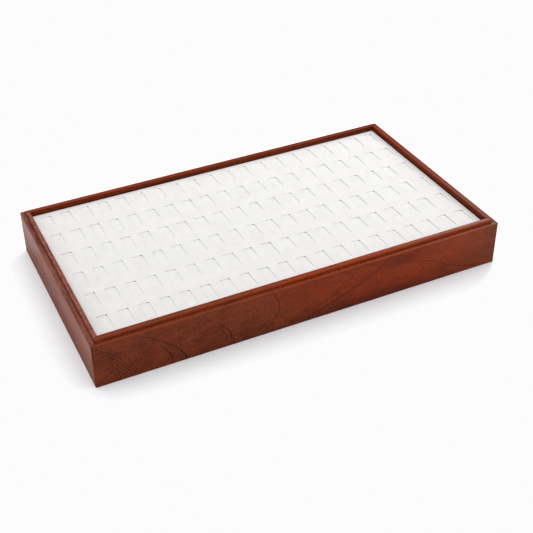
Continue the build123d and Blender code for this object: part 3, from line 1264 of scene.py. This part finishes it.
@dataclass
class RingTongues:
    """A row of tongues: card wrapped in microfibre, rooted at the front and free at the back."""

    grid: SlotGrid
    row: int
    gap: float = 0.03  # between the wrapping and the window's right side and back edge
    left_gap: float = 0.12
    slack: float = 0.05  # how much lower both sides lie in the first column; none in the last
    tuck: float = 0.3  # how far the root runs in under the cover
    edge_radius: float = 0.15
    edge_steps: int = 3
    tip_radii: Point2 = (0.4, 2.7)  # of the free end's left and right corners, in plan
    least_radius: float = 0.05  # of those corners further in
    rise: float = 1.28  # how far the wrapping stands above the card at the root
    fall: Point2 = (0.42, 0.2)  # how much lower the free end lies, in the first and the last column
    fall_power: int = 5  # how soon behind the root it is down
    tilt: Point2 = (-0.18, 0.42)  # how much lower again the right side lies there
    side_power: int = 25  # how soon behind the root the sides are down
    root_stations: Point2 = (0.005, 0.035)  # extra points just behind the root, as shares of the length
    opening: float = 0.12  # how much wider the gap on the right is in the last column
    crown: float = 0.08  # how far the middle stands above the sides
    sag: float = 0.12  # the most that a tip hangs below its place
    twist: float = 0.06  # the most that a tip's side hangs below its middle
    seed: int = 5
    across_steps: int = 8
    along_steps: int = 10
    corner_steps: int = 3

    def build(self, material: bpy.types.Material) -> bpy.types.Object:
        """Make the row's mesh and set it in the frame.

        Args:
            material: the microfibre.

        Returns:
            The finished piece.
        """
        node = f"tongue_row_{self.row}"
        foot, top = (corner.z * PER_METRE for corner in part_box(node))
        shape = bmesh.new()
        chance = random.Random(self.seed + self.row)
        half = (self.grid.window[0] / 2, self.grid.window[1] / 2)
        for column in range(self.grid.columns):
            share = column / (self.grid.columns - 1)
            x, y = self.grid.window_centre(column, self.row - 1)
            low = (x - half[0] + self.left_gap, y - half[1] - self.tuck, foot)
            high = (x + half[0] - self.gap - self.opening * share, y + half[1] - self.gap, top)
            fall = self.fall[0] + (self.fall[1] - self.fall[0]) * share
            tilt = self.tilt[0] + (self.tilt[1] - self.tilt[0]) * share
            self._tongue(shape, low, high, chance, (fall, self.slack * (1 - share), tilt))
        bmesh.ops.recalc_face_normals(shape, faces=shape.faces)
        piece = smooth_piece(f"wrapped_tongues_{self.row}", shape, material)
        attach(piece, f"tongues_{self.row}")
        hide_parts(node)
        log.info("%s has %d tongues", piece.name, self.grid.columns)
        return piece

    def _outline(self, low: Point3, high: Point3, inset: float) -> list[Point2]:
        """List a tongue's outline in plan, anticlockwise from its front right corner.

        Args:
            low: the tongue's lowest corner.
            high: the tongue's highest corner.
            inset: how far the outline lies inside the tongue's sides and free end.

        Returns:
            The points: up the right side, round the tip and down the left side.
        """
        right, left, tip = high[0] - inset, low[0] + inset, high[1] - inset
        left_radius, right_radius = (max(radius - inset, self.least_radius) for radius in self.tip_radii)
        shares = [0.0, *self.root_stations, *(i / self.along_steps for i in range(1, self.along_steps))]
        points = [(right, low[1] + (tip - right_radius - low[1]) * share) for share in shares]
        turns = [QUARTER_TURN * i / self.corner_steps for i in range(self.corner_steps + 1)]
        for turn in turns:
            east, north = math.cos(turn) - 1, math.sin(turn) - 1
            points.append((right + right_radius * east, tip + right_radius * north))
        run = right - left - left_radius - right_radius
        for i in range(1, self.across_steps):
            points.append((right - right_radius - run * i / self.across_steps, tip))
        for turn in turns:
            west, north = 1 - math.sin(turn), math.cos(turn) - 1
            points.append((left + left_radius * west, tip + left_radius * north))
        points += [(left, low[1] + (tip - left_radius - low[1]) * share) for share in reversed(shares)]
        return points

    def _levels(self, low: Point3, high: Point3) -> list[Point2]:
        """List the rings of a tongue's shell, from its foot over its rounded edge.

        Args:
            low: the tongue's lowest corner.
            high: the tongue's highest corner, without the wrapping.

        Returns:
            For each ring, how far it lies inside the tongue's sides, and its height.
        """
        crest = high[2] + self.rise
        levels = [(0.0, low[2])]
        for i in range(self.edge_steps + 1):
            turn = QUARTER_TURN * i / self.edge_steps
            inset, below = (self.edge_radius * (1 - part) for part in (math.cos(turn), math.sin(turn)))
            levels.append((inset, crest - below))
        levels.append((2 * self.edge_radius, crest))
        return levels

    def _tongue(
        self, shape: bmesh.types.BMesh, low: Point3, high: Point3, chance: random.Random, lowered: Point3
    ) -> None:
        """Add one tongue as a closed shell.

        Args:
            shape: the mesh that gets it.
            low: its lowest corner.
            high: its highest corner, without the wrapping.
            chance: where its unevenness is drawn from.
            lowered: how much lower the free end lies, and how much lower again both sides and the right side.
        """
        fall, slack, tilt = lowered
        droop = chance.uniform(0.0, 1.0) * self.sag
        roll = chance.uniform(-1.0, 1.0) * self.twist
        middle = (low[0] + high[0]) / 2
        half = (high[0] - low[0]) / 2
        length = high[1] - low[1]
        rings = []
        for number, (inset, level) in enumerate(self._levels(low, high)):
            ring = []
            for x, y in self._outline(low, high, inset):
                share = (y - low[1]) / length
                side = (x - middle) / half
                drop = droop * share**2 + roll * side * share + fall * (1 - (1 - share) ** self.fall_power)
                leaning = slack * side**2 + tilt * max(side, 0.0) ** 2
                drop += leaning * (1 - (1 - share) ** self.side_power)
                lift = self.crown * (1 - side**2) * share if number else 0.0
                ring.append((x, y, level + lift - drop))
            rings.append(add_ring(shape, ring))
        join_rings(shape, rings)
        shape.faces.new(list(reversed(rings[0])))
        self._top(shape, rings[-1])

    def _top(self, shape: bmesh.types.BMesh, rim: list[bmesh.types.BMVert]) -> None:
        """Close a tongue's top with strips from its left side to its right side.

        Args:
            shape: the mesh that gets them.
            rim: the highest ring of the tongue's shell.
        """
        count = len(rim)
        for i in range(count // 2):
            j = count - 1 - i
            if j - i > 2:
                shape.faces.new((rim[i], rim[i + 1], rim[j - 1], rim[j]))
            elif j - i == 2:
                shape.faces.new((rim[i], rim[i + 1], rim[j]))


# The studio


@dataclass
class SoftBox:
    """A rectangular soft light that points at the tray."""

    name: str
    place: Point3
    size: Point2
    radiance: float  # how bright its face is, white paper in full light being 1
    aim: Point3 = (0.0, 0.0, 40.0)

    def build(self) -> bpy.types.Object:
        """Make the light. A face that sends out pi watts a square metre has a radiance of 1.

        Returns:
            The light, linked to the scene.
        """
        lamp = bpy.data.lights.new(self.name, "AREA")
        lamp.shape = "RECTANGLE"
        lamp.size, lamp.size_y = self.size[0] * MM, self.size[1] * MM
        lamp.energy = self.radiance * math.pi * lamp.size * lamp.size_y
        holder = bpy.data.objects.new(self.name, lamp)
        holder.location = Vector(self.place) * MM
        towards = (Vector(self.aim) - Vector(self.place)).normalized()
        holder.rotation_mode = "QUATERNION"
        holder.rotation_quaternion = towards.to_track_quat("-Z", "Y")
        holder.visible_camera = False
        bpy.context.scene.collection.objects.link(holder)
        return holder


@dataclass
class Studio:
    """A white paper floor under soft lights."""

    floor_size: float = 2000.0
    surroundings: float = 0.84  # radiance of the room, white paper in full light being 1
    wall: float = 0.15  # radiance of the dim wall behind the tray
    dark_side: Point3 = (0.39, 0.8, 0.456)  # where the middle of that wall is
    wall_edge: Point2 = (0.93, 0.985)  # cosines of the angles from there where it ends, and where it is full
    paper_white: float = 0.973  # the brightest tone that the picture holds
    boxes: tuple[SoftBox, ...] = (
        SoftBox("overhead_box", (-90.0, 250.0, 1500.0), (1500.0, 1300.0), 1.52),
        SoftBox("back_right_box", (985.0, 640.0, 775.0), (480.0, 480.0), 11.0),
        SoftBox("back_box", (-40.0, 1108.0, 876.0), (380.0, 380.0), 2.4),
        SoftBox("front_right_box", (1150.0, -760.0, 330.0), (900.0, 500.0), 2.7),
        SoftBox("left_box", (-1500.0, -300.0, 450.0), (1300.0, 700.0), 1.6),
    )

    def build(self) -> None:
        """Make the floor, the lights and the surroundings."""
        self._floor()
        for box in self.boxes:
            box.build()
        self._world()
        self._picture_tones()
        log.info("the studio has %d lights", len(self.boxes))

    def _floor(self) -> None:
        """Lay the paper on which the tray stands."""
        reach = self.floor_size / 2 * MM
        mesh = bpy.data.meshes.new("studio_floor")
        mesh.from_pydata([(reach * x, reach * y, 0.0) for x, y in QUARTERS], [], [(0, 1, 2, 3)])
        mesh.materials.append(StudioPaper().material())
        floor = bpy.data.objects.new("studio_floor", mesh)
        bpy.context.scene.collection.objects.link(floor)

    def _world(self) -> None:
        """Light the room evenly but for a dim wall, and show it as white behind the floor."""
        world = bpy.data.worlds.new("studio")
        world.use_nodes = True
        tree = world.node_tree
        tree.nodes.clear()
        seen = add_node(tree, "LightPath").outputs["Is Camera Ray"]
        direction = add_node(tree, "TexCoord").outputs["Generated"]
        behind = add_node(tree, "VectorMath", (direction, self.dark_side), operation="DOT_PRODUCT")
        limits = (*self.wall_edge, self.surroundings, self.wall)
        room = add_node(tree, "MapRange", (behind.outputs["Value"], *limits), **EASED)
        strength = add_node(tree, "MapRange", (seen, 0.0, 1.0, room, 1.0))
        paper = add_node(tree, "Background", {"Color": (1.0, 1.0, 1.0, 1.0), "Strength": strength})
        add_node(tree, "OutputWorld", {"Surface": paper})
        bpy.context.scene.world = world

    def _picture_tones(self) -> None:
        """Keep the picture's tones as they are, with paper white just under the brightest one."""
        view = bpy.context.scene.view_settings
        view.view_transform = "Standard"
        view.use_curve_mapping = True
        curve = view.curve_mapping
        curve.extend = "HORIZONTAL"
        curve.curves[ALL_CHANNELS].points[-1].location = (1.0, self.paper_white)
        curve.update()


@dataclass
class ProductCamera:
    """The camera, where the photographer stood."""

    place: Point3 = (-383.9, -818.9, 647.5)
    azimuth: float = 24.07  # degrees from +Y towards +X
    elevation: float = 34.12  # degrees below the horizon
    roll: float = -1.48
    lens: float = 68.21
    sensor: float = 36.0
    shift: Point2 = (0.0497, -0.0689)
    clip: Point2 = (50.0, 50000.0)  # the nearest and farthest that it sees

    def build(self) -> bpy.types.Object:
        """Make the camera and set it as the scene's.

        Returns:
            The camera, linked to the scene.
        """
        turn, tilt = math.radians(self.azimuth), math.radians(self.elevation)
        ahead = Vector((math.sin(turn) * math.cos(tilt), math.cos(turn) * math.cos(tilt), -math.sin(tilt)))
        level_right = Vector((math.cos(turn), -math.sin(turn), 0.0))
        level_up = level_right.cross(ahead)
        lean = math.radians(self.roll)
        right = math.cos(lean) * level_right + math.sin(lean) * level_up
        up = -math.sin(lean) * level_right + math.cos(lean) * level_up
        data = bpy.data.cameras.new("product_camera")
        data.lens = self.lens
        data.sensor_width = self.sensor
        data.shift_x, data.shift_y = self.shift
        data.clip_start, data.clip_end = self.clip[0] * MM, self.clip[1] * MM
        camera = bpy.data.objects.new("product_camera", data)
        rotation = Matrix((right, up, -ahead)).transposed()
        camera.matrix_world = Matrix.Translation(Vector(self.place) * MM) @ rotation.to_4x4()
        bpy.context.scene.collection.objects.link(camera)
        bpy.context.scene.camera = camera
        log.info("%s stands at %s", camera.name, self.place)
        return camera


def main() -> None:
    """Build the camera, the tray, the insert and the studio, in that order."""
    logging.basicConfig(level=logging.INFO, format="%(name)s: %(message)s")
    ProductCamera().build()
    WoodenTray().build()
    grid = SlotGrid()
    InsertCarcass(grid).build()
    suede = MicrofibreSuede().material()
    InsertCover(grid).build(suede)
    for row in range(1, grid.rows + 1):
        RingTongues(grid, row).build(suede)
    Studio().build()
    bpy.context.view_layer.update()


if __name__ == "__main__":
    main()
